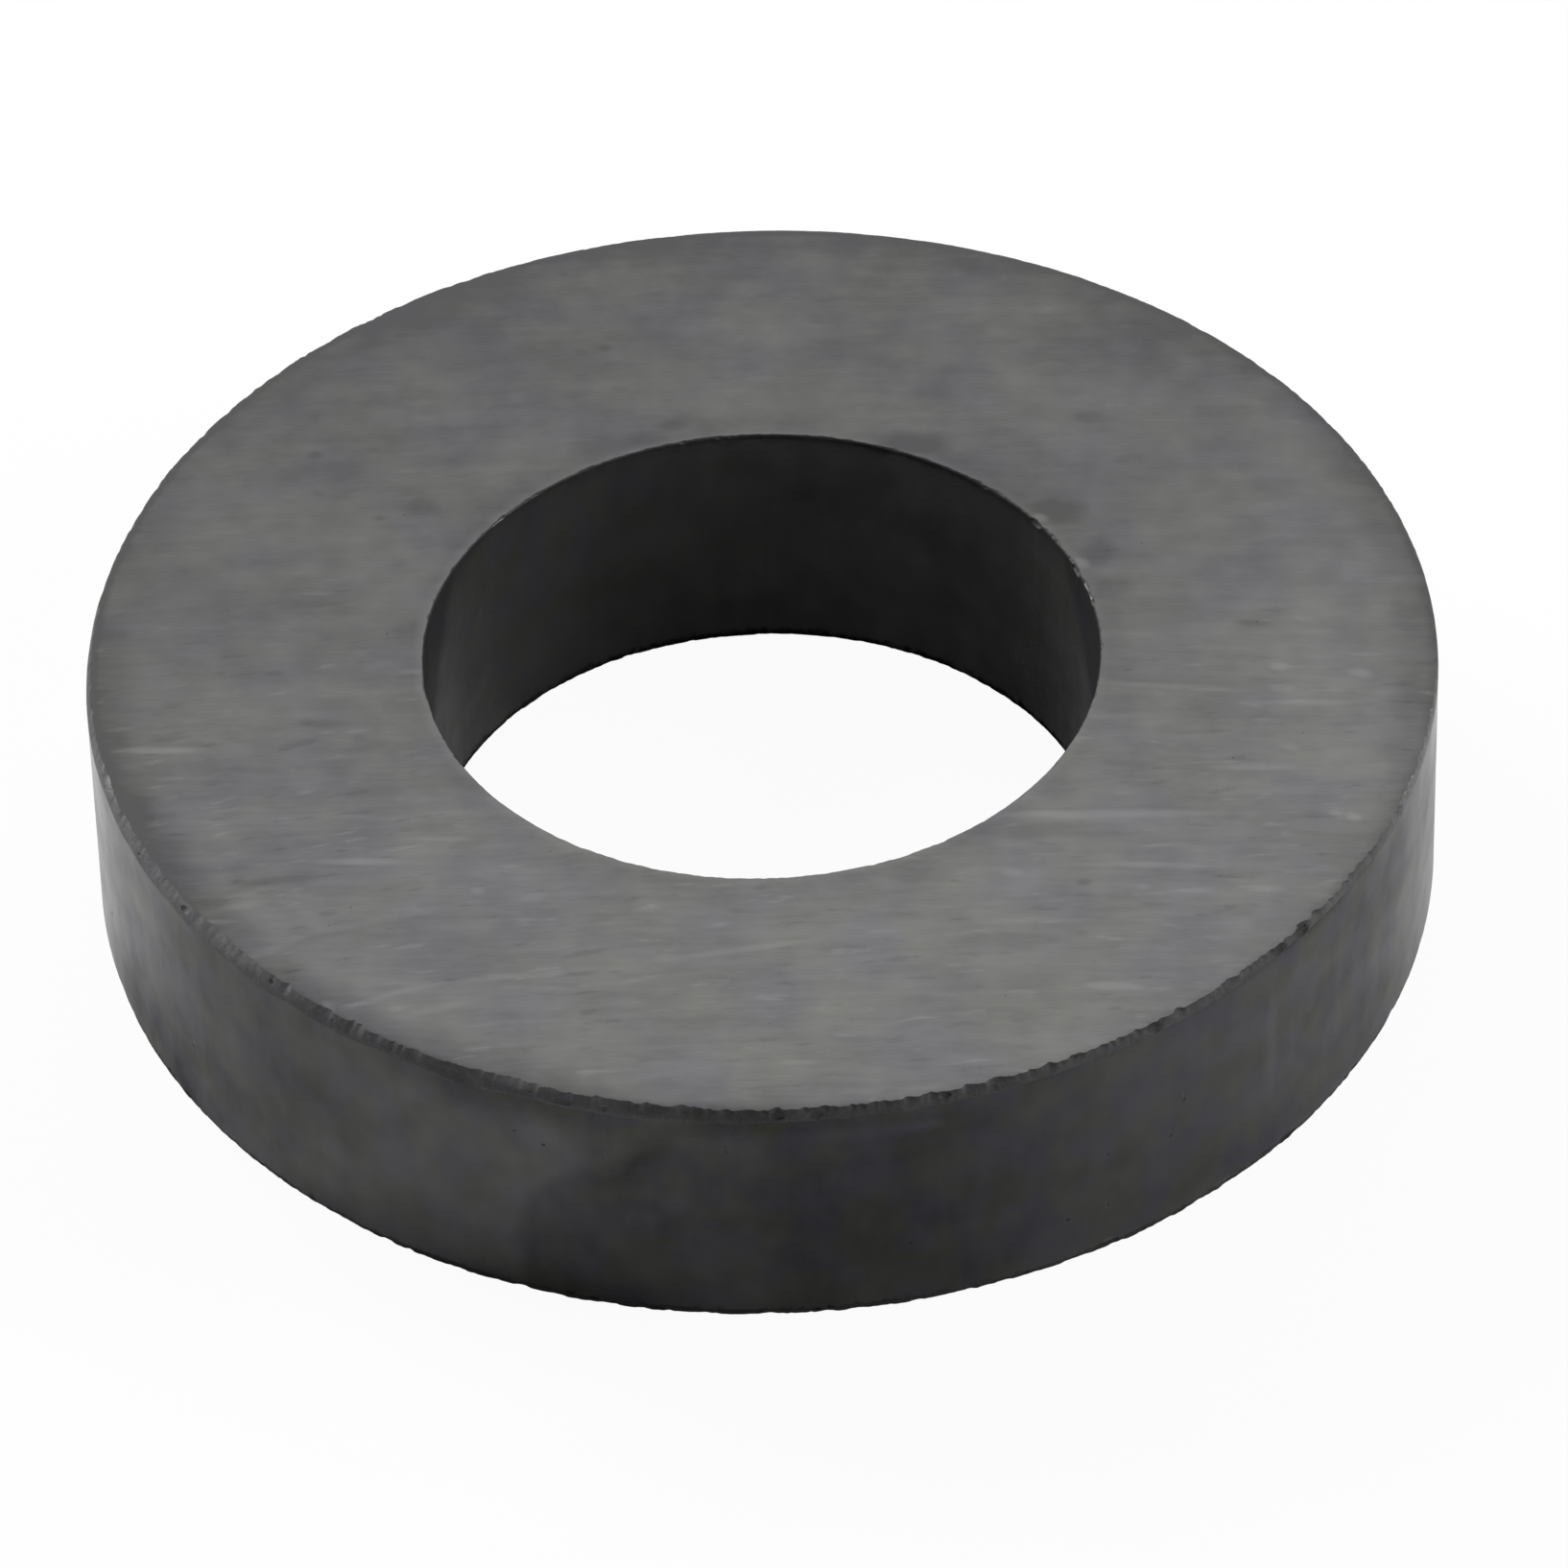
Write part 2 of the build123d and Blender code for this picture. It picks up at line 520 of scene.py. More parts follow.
def strew_chips(rim, taken, count, dice):
    """Small chips at random angles that keep clear of those already there."""
    found = []
    for attempt in range(count):
        degrees = dice.uniform(-180, 180)
        length = dice.triangular(*CHIP_LENGTHS) * MM
        depth = length * dice.uniform(*CHIP_DEPTHS)
        if all(apart(rim, degrees, other) > CHIP_ROOM * (length + span) for other, span in taken):
            taken.append((degrees, length))
            found.append((degrees, length, depth, dice.uniform(*CHIP_LEANS)))
    return found


def rim_pebbles():
    """Pebbles for every chip of every rim."""
    dice = random.Random(CHIP_SEED)
    pebbles = []
    for name, rim in RIMS.items():
        known = [(degrees, length * MM, depth * KNOWN_SHARE * MM, KNOWN_LEAN)
                 for degrees, length, depth in KNOWN_CHIPS[name]]
        taken = [(chip[0], chip[1]) for chip in known]
        strewn = strew_chips(rim, taken, STREWN_CHIPS[name], dice)
        for number, (degrees, length, depth, lean) in enumerate(known + strewn):
            detail = PEBBLE_FINE if length > LARGE_CHIP else PEBBLE_PLAIN
            pebbles.append(edge_pebble(rim, degrees, length, depth, lean, detail, number + rim.seed))
        print(f"{name}: {len(known)} known chips, {len(strewn)} strewn")
    return pebbles


# %% [markdown]
# Pores are set the same way. The few on the wall that can be told apart are given by their angle in
# degrees and by their height, half length and depth in millimetres. The rest are strewn, on both faces and
# all round the wall.

# %% Set the pores
WALL_PORES = [(-54.1, 11.3, 0.34, 0.14), (-55.5, 8.4, 0.28, 0.12), (-61.7, 9.4, 0.20, 0.10),
              (-65.4, 4.5, 0.20, 0.10), (-94.0, 16.3, 0.20, 0.08)]
STREWN_FACE_PORES = 26
STREWN_WALL_PORES = 30
FACE_PORE_HALVES = (0.05, 0.13)
WALL_PORE_HALVES = (0.08, 0.20)
FACE_PORE_DEPTH, WALL_PORE_DEPTH = 0.4, 0.5
PORE_FROM_EDGE, PORE_FROM_RIM = 2 * MM, 3.5 * MM
PORE_GAP = 1.0 * MM
PORE_ALONG = Vector((1, 0.1, 0))
PORE_WIDTH, PORE_SINK, PORE_LIFT, PORE_LUMPS = 0.6, 0.7, 0.1, 0.3
PORE_SEED, FIRST_PORE = 11, 60


def strewn_pores(dice):
    """Small pores on both faces and on the outer wall: place, way out, half length and depth."""
    pores = []
    for attempt in range(STREWN_FACE_PORES):
        radius = dice.uniform(BORE_RADIUS + PORE_FROM_EDGE, OUTER_RADIUS - PORE_FROM_EDGE)
        angle, half = dice.uniform(-math.pi, math.pi), dice.uniform(*FACE_PORE_HALVES) * MM
        up = 1 if attempt % 2 else -1
        place = turned(radius, THICKNESS if up > 0 else 0, angle)
        pores.append((place, Vector((0, 0, up)), half, half * FACE_PORE_DEPTH))
    for attempt in range(STREWN_WALL_PORES):
        angle, half = dice.uniform(-math.pi, math.pi), dice.uniform(*WALL_PORE_HALVES) * MM
        height = dice.uniform(PORE_FROM_RIM, THICKNESS - PORE_FROM_RIM)
        pores.append((turned(OUTER_RADIUS, height, angle), turned(1, 0, angle), half, half * WALL_PORE_DEPTH))
    return pores


def pore_pebbles():
    """Pebbles for all pores, sunk into the surface, and no strewn one close to another."""
    pores = [(turned(OUTER_RADIUS, height * MM, math.radians(degrees)), turned(1, 0, math.radians(degrees)),
              half * MM, deep * MM) for degrees, height, half, deep in WALL_PORES]
    for pore in strewn_pores(random.Random(PORE_SEED)):
        if all((pore[0] - other[0]).length > PORE_GAP for other in pores):
            pores.append(pore)
    pebbles = []
    for number, (place, way, half, deep) in enumerate(pores):
        along = PORE_ALONG if way.z else way.cross(Vector((0, 0, 1)))
        size = (half, half * PORE_WIDTH, deep * PORE_SINK)
        pebbles.append(pebble(place + way * deep * PORE_LIFT, along.normalized(), way, size, PORE_LUMPS,
                              PEBBLE_PLAIN, number + FIRST_PORE))
    print(f"pores: {len(pores)} on the faces and the wall")
    return pebbles


# %% [markdown]
# One Boolean takes all the pebbles away. Joining them into one cutter first is quicker than a modifier for
# each, and works because none of them touch.

# %% Cut the chips and pores out of the body
def cut_pebbles(body, pebbles):
    """Takes all the pebbles away in one Boolean; what they leave is broken ferrite."""
    points, faces = [], []
    for some_points, some_faces in pebbles:
        faces += [[number + len(points) for number in face] for face in some_faces]
        points += some_points
    cutter = add_mesh("pebbles", points, faces, [BROKEN_EDGE] * len(faces))
    for owner in (body, cutter):
        for finish in (GROUND_FACE, FIRED_SKIN, BROKEN_EDGE):
            owner.data.materials.append(None)
    boolean = body.modifiers.new("chips", "BOOLEAN")
    boolean.operation = "DIFFERENCE"
    boolean.solver = "MANIFOLD"
    boolean.object = cutter
    before = len(body.data.polygons)
    shaped = bpy.data.meshes.new_from_object(body.evaluated_get(bpy.context.evaluated_depsgraph_get()))
    body.modifiers.clear()
    body.data = shaped
    bpy.data.objects.remove(cutter)
    print(f"cut {len(pebbles)} pebbles: {before} faces became {len(shaped.polygons)}")


cut_pebbles(body, rim_pebbles() + pore_pebbles())

# %% [markdown]
# Where a cut only just grazes the surface, the Boolean leaves faces as thin as a needle, and here and there
# two that lie back to back with nothing between them. They can't be seen, but they would be stray faces
# in the mesh, so the needles are closed up and the back-to-back pairs are taken out. To find such a pair
# the faces that were cut are first split into triangles, and then compared by the places of their corners.

# %% Clean up after the cut
SLIVER = 0.004 * MM
TOUCHING = 0.00005 * MM
CRUMB = 0.004 * MM * MM
CORNERS_UNCUT = 4


def drop_slivers(work):
    """Closes up needle-thin faces of an open bmesh and takes out pairs that lie back to back."""
    before = len(work.faces)
    bmesh.ops.dissolve_degenerate(work, dist=SLIVER, edges=work.edges)
    slivers = before - len(work.faces)
    cut_faces = [face for face in work.faces if len(face.verts) > CORNERS_UNCUT or face.calc_area() < CRUMB]
    bmesh.ops.triangulate(work, faces=cut_faces)
    same_corners = {}
    for face in work.faces:
        corners = frozenset(tuple(round(x / TOUCHING) for x in vertex.co) for vertex in face.verts)
        same_corners.setdefault(corners, []).append(face)
    flakes = [face for faces in same_corners.values() if len(faces) > 1 for face in faces]
    bmesh.ops.delete(work, geom=flakes, context="FACES")
    bmesh.ops.remove_doubles(work, verts=work.verts, dist=TOUCHING)
    print(f"closed up {slivers} slivers and took out {len(flakes)} flakes")


open_edges = reshape(body.data, drop_slivers)
print(f"cleaned: {len(body.data.polygons)} faces, {open_edges} open edges")

# %% [markdown]
# The ring is shaded smooth, except at steep breaks and along the ragged line where a ground face ends: those
# edges are marked sharp, so the flat face stays flat right up to its end.

# %% Shade the ring
SHARP_ANGLE = math.radians(38)


def sharpen_face_ends(work):
    """Marks the edges of an open bmesh sharp where a ground face meets another finish."""
    sharpened = 0
    for edge in work.edges:
        finishes = {face.material_index for face in edge.link_faces}
        if edge.smooth and len(finishes) > 1 and GROUND_FACE in finishes:
            edge.smooth = False
            sharpened += 1
    print(f"sharpened {sharpened} edges at the ends of the ground faces")


body.data.shade_smooth()
body.data.set_sharp_from_angle(angle=SHARP_ANGLE)
reshape(body.data, sharpen_face_ends)
triangles = sum(len(face.vertices) - 2 for face in body.data.polygons)
print(f"ring: {triangles} triangles")

# %% [markdown]
# ## Node groups
#
# The three finishes share a few effects, so each effect is a node group that is built once and placed
# with its own numbers in every material that needs it. All of them read the ring's own coordinates in
# millimetres, so a size that is typed into a group is a size that could be measured on the ring.

# %% Helpers that add nodes
class Group:
    """A shader node group under construction, with its inputs and outputs by name."""

    def __init__(self, name, inputs, output, kind="NodeSocketFloat"):
        self.tree = bpy.data.node_groups.new(name, "ShaderNodeTree")
        self.tree.interface.new_socket("Place", in_out="INPUT", socket_type="NodeSocketVector")
        for socket, value in inputs.items():
            of_type = "NodeSocketFloat" if isinstance(value, float) else "NodeSocketVector"
            made = self.tree.interface.new_socket(socket, in_out="INPUT", socket_type=of_type)
            made.default_value = value
        self.tree.interface.new_socket(output, in_out="OUTPUT", socket_type=kind)
        self.inputs = self.tree.nodes.new("NodeGroupInput").outputs
        self.output = self.tree.nodes.new("NodeGroupOutput").inputs[0]


def link(tree, source, target):
    """Joins two sockets, or sets the second one if the first is a plain value."""
    if isinstance(source, bpy.types.NodeSocket):
        tree.links.new(source, target)
    else:
        target.default_value = source


def maths(tree, operation, *values, clamp=False):
    """A Math node on sockets or numbers."""
    node = tree.nodes.new("ShaderNodeMath")
    node.operation = operation
    node.use_clamp = clamp
    for value, socket in zip(values, node.inputs):
        link(tree, value, socket)
    return node.outputs[0]


def held(tree, value):
    """The value, held between zero and one."""
    return maths(tree, "ADD", value, 0.0, clamp=True)


def diagonal(tree, first, second):
    """The length of the slanting side across two sides at a right angle."""
    squares = maths(tree, "MULTIPLY_ADD", first, first, maths(tree, "MULTIPLY", second, second))
    return maths(tree, "SQRT", squares)


def vectors(tree, operation, first, second=(0, 0, 0)):
    """A Vector Math node; the length of a vector comes out as a value."""
    node = tree.nodes.new("ShaderNodeVectorMath")
    node.operation = operation
    link(tree, first, node.inputs[0])
    link(tree, second, node.inputs[1])
    return node.outputs["Value" if operation == "LENGTH" else "Vector"]


def split(tree, vector):
    """The X, Y and Z of a vector."""
    node = tree.nodes.new("ShaderNodeSeparateXYZ")
    link(tree, vector, node.inputs[0])
    return node.outputs


def combine(tree, *parts):
    """A vector from its X, Y and Z."""
    node = tree.nodes.new("ShaderNodeCombineXYZ")
    for part, socket in zip(parts, node.inputs):
        link(tree, part, socket)
    return node.outputs[0]


def remap(tree, value, low, high, to_low=0.0, to_high=1.0, soft=False):
    """A Map Range node that holds its ends, with eased ends if soft."""
    node = tree.nodes.new("ShaderNodeMapRange")
    node.interpolation_type = "SMOOTHSTEP" if soft else "LINEAR"
    for source, name in ((value, "Value"), (low, "From Min"), (high, "From Max"),
                         (to_low, "To Min"), (to_high, "To Max")):
        link(tree, source, node.inputs[name])
    return node.outputs[0]


def blend(tree, factor, first, second, kind="MIX"):
    """A Mix node for colours."""
    node = tree.nodes.new("ShaderNodeMix")
    node.data_type = "RGBA"
    node.blend_type = kind
    for source, number in ((factor, 0), (first, 6), (second, 7)):
        link(tree, source, node.inputs[number])
    return node.outputs[2]


def noise_at(tree, vector, detail, roughness=0.5):
    """A Noise Texture with features one unit wide."""
    node = tree.nodes.new("ShaderNodeTexNoise")
    link(tree, vector, node.inputs["Vector"])
    for value, name in ((1.0, "Scale"), (detail, "Detail"), (roughness, "Roughness")):
        link(tree, value, node.inputs[name])
    return node.outputs["Fac"]


def add_up(tree, start, *parts):
    """The sum of a start value and of each part's (socket, weight, middle), weighted about its middle."""
    total = start - sum(weight * middle for socket, weight, middle in parts)
    for socket, weight, middle in parts:
        total = maths(tree, "MULTIPLY_ADD", socket, weight, total)
    return total


# %% [markdown]
# **Grinding marks.** The wheel is far bigger than the ring, so each grit draws a long, nearly straight arc
# across the face. Noise gives such marks if it is read in the wheel's own terms: finely with the distance
# from the wheel's middle, and very slowly along the arc. That stretches each speck of noise into a
# streak that bends as the real one does.

# %% Build the grinding marks
def build_grinding_marks():
    """Streaks along arcs about a distant wheel centre, as a value around one half."""
    group = Group("Grinding marks", {"Wheel X": 0.0, "Wheel Y": -1000.0, "Streak width": 0.5,
                                     "Streak length": 8.0, "Wheel": 0.0}, "Streaks")
    tree, inputs = group.tree, group.inputs
    place = split(tree, inputs["Place"])
    across = maths(tree, "SUBTRACT", place["X"], inputs["Wheel X"])
    along = maths(tree, "SUBTRACT", place["Y"], inputs["Wheel Y"])
    radius = diagonal(tree, across, along)
    arc = maths(tree, "MULTIPLY", maths(tree, "ARCTAN2", across, along), radius)
    read = combine(tree, maths(tree, "DIVIDE", radius, inputs["Streak width"]),
                   maths(tree, "DIVIDE", arc, inputs["Streak length"]), inputs["Wheel"])
    link(tree, noise_at(tree, read, detail=3.0, roughness=0.55), group.output)
    return group.tree


grinding_marks = build_grinding_marks()

# %% [markdown]
# **Mottle, press marks and specks.** Fired ferrite is never one even grey. Soft patches come from uneven
# density, and the press die leaves them drawn out upright on the walls: that is the same noise, read more
# slowly along Z. Small dark specks are pores too fine to cut as geometry: a Voronoi texture scatters them,
# and a number that is drawn for each of its cells says which cells hold one.

# %% Build the mottle and the specks
def build_mottle():
    """Soft patches of a given width and height, as a value around one half."""
    group = Group("Mottle", {"Patch width": 8.0, "Patch height": 8.0}, "Patches")
    tree, inputs = group.tree, group.inputs
    size = combine(tree, inputs["Patch width"], inputs["Patch width"], inputs["Patch height"])
    link(tree, noise_at(tree, vectors(tree, "DIVIDE", inputs["Place"], size), detail=3.0), group.output)
    return group.tree


SPECK_CHANCE = (0.6, 1.0)
SPECK_EDGE = 25.0


def build_specks():
    """Small round specks of a given spacing; one inside a speck, zero between them."""
    group = Group("Specks", {"Spacing": 1.5, "Speck size": 0.12}, "Speck")
    tree, inputs = group.tree, group.inputs
    cells = tree.nodes.new("ShaderNodeTexVoronoi")
    link(tree, inputs["Place"], cells.inputs["Vector"])
    link(tree, maths(tree, "DIVIDE", 1.0, inputs["Spacing"]), cells.inputs["Scale"])
    chance = tree.nodes.new("ShaderNodeSeparateColor")
    link(tree, cells.outputs["Color"], chance.inputs[0])
    half = maths(tree, "DIVIDE", inputs["Speck size"], inputs["Spacing"])
    reach = maths(tree, "MULTIPLY", half, remap(tree, chance.outputs[0], *SPECK_CHANCE))
    inside = maths(tree, "SUBTRACT", reach, cells.outputs["Distance"])
    link(tree, maths(tree, "MULTIPLY", inside, SPECK_EDGE, clamp=True), group.output)
    return group.tree


mottle = build_mottle()
specks = build_specks()

# %% [markdown]
# **Tint.** The grey leans a trace towards blue in some patches and towards olive in others. The group puts
# out a colour close to white, which a material multiplies into its own.

# %% Build the tint
COOL = (0.975, 0.975, 1.035, 1)
WARM = (1.012, 1.015, 0.945, 1)
TINT_TURN = (0.32, 0.68)


def build_tint():
    """A nearly white colour that drifts between cool and warm."""
    group = Group("Tint", {"Patch size": 4.0, "Strength": 1.0}, "Tint", "NodeSocketColor")
    tree, inputs = group.tree, group.inputs
    patches = noise_at(tree, vectors(tree, "DIVIDE", inputs["Place"], inputs["Patch size"]), detail=2.0)
    hue = blend(tree, remap(tree, patches, *TINT_TURN, soft=True), COOL, WARM)
    link(tree, blend(tree, inputs["Strength"], (1, 1, 1, 1), hue), group.output)
    return group.tree


tint = build_tint()

# %% [markdown]
# ** Edge wear and painted light.** Wear follows the edges of the ring, and so does some painted light: painted
# shade near the floor and towards the face's outer edge, and a painted highlight along the bore. A Bevel or
# Pointiness node finds edges, but both are slow or depend on the mesh. The ring's edges are four circles, so
# the distance to the nearest one takes only a few Math nodes, and it stays right however finely the mesh is
# cut.

# %% Build the mask for edge wear and painted light
def build_edge_wear_and_painted_light():
    """One on the edges of the ring, falling to zero at a ragged distance from them."""
    group = Group("Edge wear and painted light", {"Reach": 1.0, "Raggedness": 0.3, "Grain": 0.8}, "Near edge")
    tree, inputs = group.tree, group.inputs
    place = split(tree, inputs["Place"])

    def nearest(value, first, second):
        """The distance from a value to the nearer of two numbers."""
        far = maths(tree, "ABSOLUTE", maths(tree, "SUBTRACT", value, first))
        near = maths(tree, "ABSOLUTE", maths(tree, "SUBTRACT", value, second))
        return maths(tree, "MINIMUM", far, near)

    level = nearest(diagonal(tree, place["X"], place["Y"]), OUTER_RADIUS / MM, BORE_RADIUS / MM)
    away = diagonal(tree, level, nearest(place["Z"], THICKNESS / MM, 0.0))
    rough = noise_at(tree, vectors(tree, "DIVIDE", inputs["Place"], inputs["Grain"]), detail=3.0)
    shift = maths(tree, "MULTIPLY", maths(tree, "SUBTRACT", rough, 0.5), inputs["Raggedness"])
    share = maths(tree, "DIVIDE", maths(tree, "ADD", away, shift), inputs["Reach"])
    link(tree, remap(tree, share, 1.0, 0.0, soft=True), group.output)
    return group.tree


edge_wear_and_painted_light = build_edge_wear_and_painted_light()

# %% [markdown]
# **Mark.** A single scratch, rub or stain is a stretched ball in space: where it meets the surface it
# leaves a streak that tapers at both ends. It is given by its middle, its turn about Z and its half size.

# %% Build the mark
MARK_CORE = 0.2


def build_mark():
    """One at the middle of a stretched ball, falling softly to zero at its skin."""
    group = Group("Mark", {"Middle": (0, 0, 0), "Turn": 0.0, "Half size": (1, 1, 1)}, "Mark")
    tree, inputs = group.tree, group.inputs
    rotate = tree.nodes.new("ShaderNodeVectorRotate")
    rotate.rotation_type = "Z_AXIS"
    rotate.invert = True
    for source, name in (("Place", "Vector"), ("Middle", "Center"), ("Turn", "Angle")):
        link(tree, inputs[source], rotate.inputs[name])
    away = vectors(tree, "SUBTRACT", rotate.outputs[0], inputs["Middle"])
    away = vectors(tree, "LENGTH", vectors(tree, "DIVIDE", away, inputs["Half size"]))
    link(tree, remap(tree, away, 1.0, MARK_CORE, soft=True), group.output)
    return group.tree


mark = build_mark()
print("node groups:", ", ".join(sorted(group.name for group in bpy.data.node_groups)))

# %% [markdown]
# ## A helper for the materials
#
# Each material has the same outline: a Principled shader, the ring's coordinates in millimetres, and a
# Bump node. The shader stays in the material itself and only patterns come out of the groups.

# %% Start a material
class Finish:
    """A material under construction: its Principled shader, its place socket and short node calls."""

    def __init__(self, name):
        self.material = bpy.data.materials.new(name)
        self.material.use_nodes = True
        self.tree = self.material.node_tree
        self.shader = self.tree.nodes["Principled BSDF"]
        place = self.tree.nodes.new("ShaderNodeTexCoord")
        self.place = vectors(self.tree, "MULTIPLY", place.outputs["Object"], (1 / MM, 1 / MM, 1 / MM))

    def group(self, tree, **values):
        """Places a node group; underscores in the names stand for spaces."""
        node = self.tree.nodes.new("ShaderNodeGroup")
        node.node_tree = tree
        self.tree.links.new(self.place, node.inputs["Place"])
        for name, value in values.items():
            link(self.tree, value, node.inputs[name.replace("_", " ")])
        return node.outputs[0]

    def marks(self, shape, notes, total=0.0):
        """Adds marks up; shape turns each note into a middle, a turn, a half size and a strength."""
        for note in notes:
            middle, turn, half_size, strength = shape(*note)
            masked = self.group(mark, Middle=middle, Turn=turn, Half_size=half_size)
            total = maths(self.tree, "MULTIPLY_ADD", masked, strength, total)
        return total

    def bump(self, height, distance):
        """Feeds a height, whose full range stands for a distance in millimetres, to the shader's normal."""
        node = self.tree.nodes.new("ShaderNodeBump")
        node.inputs["Distance"].default_value = distance * MM
        self.tree.links.new(height, node.inputs["Height"])
        self.tree.links.new(node.outputs[0], self.shader.inputs["Normal"])

    def set(self, **values):
        """Sets the shader's own sockets; underscores in the names stand for spaces."""
        for name, value in values.items():
            link(self.tree, value, self.shader.inputs[name.replace("_", " ")])


# %% [markdown]
# ## The ground pole face
#
# The face is matt, mid grey and streaked. Sets of grinding marks cross at slight angles, because the ring
# went under the wheel more than once. Where a grit dug in or skipped it left a short dash, light or dark.
# The marks that stand out are listed at their real places, and noise makes the rest. All notes are in
# millimetres from the middle of the ring. A streak is given by its two ends, its half width and its
# strength, a stain by its middle, its half width and half height and its strength. A stain with a strength
# below nothing is a paler patch.

# %% Note the marks on the upper face
LIGHT_STREAKS = [
    (-47.5, -9.2, -41.5, -9.4, 0.6, 0.9), (-32.7, -22, -26.4, -22.3, 0.6, 1),
    (-25.5, -19.8, -21.5, -20, 0.4, 0.5), (-21.8, -35.1, -17.4, -34.9, 0.5, 0.6),
    (-30.4, -37.9, -26.8, -36.3, 0.5, 0.5), (-26.8, -36.3, -23.6, -35.5, 0.5, 0.6),
    (-8.8, -33.8, 2.6, -32, 0.5, 0.5), (0.3, -44.7, 3, -44.8, 0.4, 0.5), (25.1, -4.6, 34.9, -5.9, 0.5, 0.5),
    (37, -7.3, 43.7, -7.6, 0.5, 0.7), (16.8, -19, 32.5, -19.4, 0.7, 0.8),
    (22.9, -24.6, 32.2, -25.1, 0.5, 0.5), (29.3, -27.6, 31.7, -27.7, 0.5, 0.6),
    (34.9, -27.7, 36.9, -27.8, 0.5, 0.6), (32.7, -14.4, 39, -14.7, 0.5, 0.6),
    (7.1, -31.2, 9, -31.3, 0.4, 0.5), (22.4, -37.6, 26.5, -37.9, 0.5, 0.5),
    (15.7, -30.5, 23.7, -30.5, 0.5, 0.3), (-39.9, -27, -36.2, -26.2, 0.6, 0.5),
    (-17.9, -26.7, -16.1, -26.4, 0.6, 0.5), (-16.3, -34.9, -14.9, -34.6, 0.5, 0.5),
    (-21.2, -25.6, -20.7, -25.6, 0.6, 0.7), (-26.3, -38.9, -20.8, -37.1, 0.6, 0.35),
    (-38, -32.3, -34.6, -30.9, 0.6, 0.4), (-29.1, -28.6, -22.9, -27.3, 0.6, 0.35),
    (-26.5, -1.2, -25.1, -1.3, 0.4, 0.5), (-34.3, 8, -31.7, 8, 0.4, 0.4),
    (-31.9, -37.9, -31.4, -37.7, 1.1, 0.7), (20.9, 14.7, 21.5, 14.2, 0.7, 0.9),
    (23.8, 9.4, 24.4, 8.7, 0.7, 0.9), (37.6, -3.3, 38.7, -3.4, 0.6, 0.8),
    (43.4, -4.1, 44.8, -4.6, 0.7, 0.7), (42.2, -20.1, 43, -20.4, 0.6, 0.9),
    (41.1, -19.7, 41.7, -20, 0.5, 0.7), (32.7, -31.3, 34.6, -31.5, 1.3, 0.35),
    (17.2, -25.2, 18.2, -25.3, 0.7, 0.5), (22.6, -37.4, 26.2, -37.8, 0.6, 0.6),
    (38.1, -12.3, 38.9, -12.5, 0.6, 0.5), (37.5, -5.7, 38.9, -5.8, 0.6, 0.5),
]
DARK_STREAKS = [
    (-29.2, -36, -26.4, -35.7, 0.5, 0.4), (-39.1, -25.2, -35.9, -24.1, 0.6, 0.4),
    (-34.6, -30.9, -30.5, -29.8, 0.6, 0.35), (-39.2, -24.2, -32.6, -23.7, 0.7, 0.7),
    (-32.3, -27.7, -31.3, -27.6, 0.5, 0.5), (14.6, -20.6, 25, -21, 1.3, 0.45),
    (33.3, -13.5, 37, -13.6, 0.6, 0.4), (0.6, -31.7, 3, -31.7, 0.4, 0.4), (35.3, 1.8, 37.4, 1.5, 0.6, 0.6),
    (-44.8, -8.2, -42.3, -7.9, 0.5, 0.45), (-34.2, -6.8, -30.7, -6.8, 0.7, 0.35),
]
STAINS = [
    (-25.3, 17.5, 2.2, 1.8, 0.4), (25.5, 26.1, 2.4, 1.2, 0.35), (22.6, 15.2, 3, 2.4, 0.6),
    (25.2, 10.2, 2.2, 2.2, 0.55), (26.2, 6.3, 2.2, 2, 0.35), (12, 23.7, 3.8, 1.9, 0.55),
    (27, 36, 13, 7, 0.22), (42, -10, 12, 17, -0.14), (0, -42, 26, 11, 0.12), (-6.3, 26.5, 1.9, 1, 0.4),
    (22.8, -26.5, 0.8, 0.6, 0.6), (22.4, -32, 0.7, 0.4, 0.3), (-33.3, 24.1, 1, 0.7, 0.4),
    (-33.1, 19.6, 0.8, 0.6, 0.3), (-28.4, 16.5, 0.8, 0.5, 0.3), (-11.3, 36, 0.9, 0.6, 0.3),
    (-13.2, 35.5, 0.8, 0.6, 0.25), (-10.3, 31, 1, 0.7, 0.22), (-29.7, -8.6, 0.9, 0.7, 0.3),
    (-36.1, -1, 1, 0.5, 0.2),
]
MARK_DEPTH = 2.0
STREAK_TAPER = 0.7
STREAK_END = 0.4
STREAK_STRENGTH = 0.75


def streak_shape(x, y, end_x, end_y, width, strength):
    """A streak on the upper face between two places, as a mark."""
    middle = ((x + end_x) / 2, (y + end_y) / 2, THICKNESS / MM)
    half_size = (STREAK_TAPER * math.hypot(end_x - x, end_y - y) + STREAK_END, width, MARK_DEPTH)
    return middle, math.atan2(end_y - y, end_x - x), half_size, strength * STREAK_STRENGTH


def stain_shape(x, y, half_width, half_height, strength):
    """A stain on the upper face, as a mark."""
    return (x, y, THICKNESS / MM), 0.0, (half_width, half_height, MARK_DEPTH), strength


def from_axis(finish):
    """The distance from the ring's axis, in millimetres."""
    return vectors(finish.tree, "LENGTH", vectors(finish.tree, "MULTIPLY", finish.place, (1, 1, 0)))


# %% [markdown]
# One tone from dark to light is added up from all these patterns, each with its weight and with its middle,
# about which it swings. The same tone sets the colour and the roughness, so a lighter streak is also a
# smoother one. A fade says between which two places a pattern changes, and from what to what.

